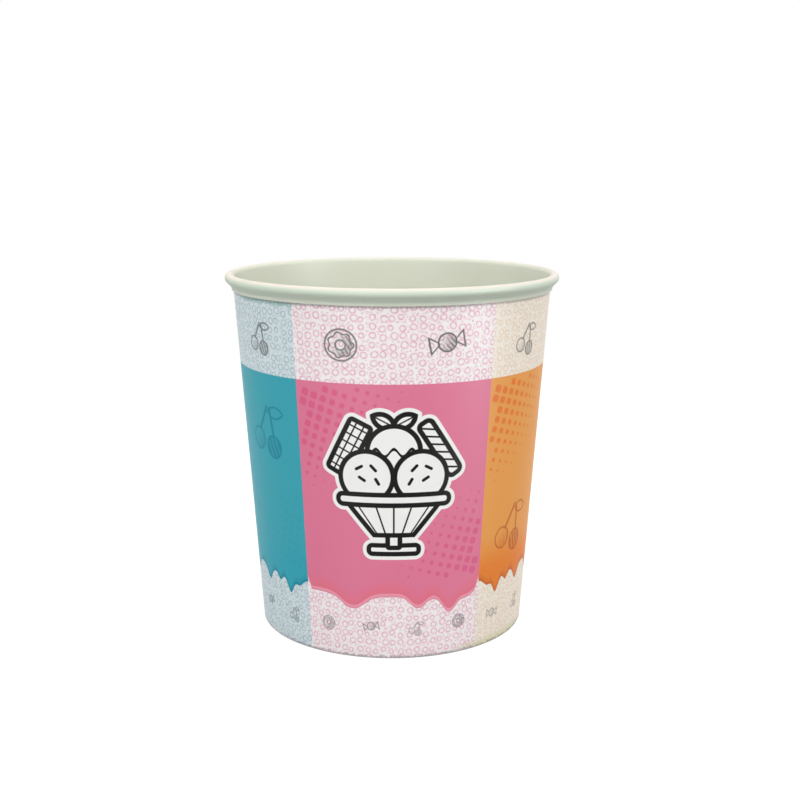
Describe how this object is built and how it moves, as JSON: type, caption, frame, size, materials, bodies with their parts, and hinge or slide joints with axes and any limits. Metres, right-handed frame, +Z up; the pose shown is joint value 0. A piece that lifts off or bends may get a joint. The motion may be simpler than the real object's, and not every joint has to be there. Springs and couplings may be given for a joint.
{
  "type": "paper dessert cup",
  "caption": "Tapered paperboard dessert cup with a rolled rim, lapped side seam, folded foot, recessed bottom disc and a colour-panel print.",
  "frame": {"origin": "centre of the foot ring, on the surface that the cup stands on", "axes": "+Z up along the cup's axis, -Y towards the printed front, +X to the right seen from the front; the side seam is 6 to 19 degrees from +X towards +Y"},
  "size_m": [0.09, 0.09, 0.097],
  "materials": {
    "printed_board": "paperboard, printed and varnished outside to a soft semi-gloss, pale coated inside",
    "base_board": "paperboard, pale, with a thin satin coating"
  },
  "bodies": {
    "root": {"side_wall": "printed_board", "bottom_disc": "base_board"}
  },
  "joints": []
}
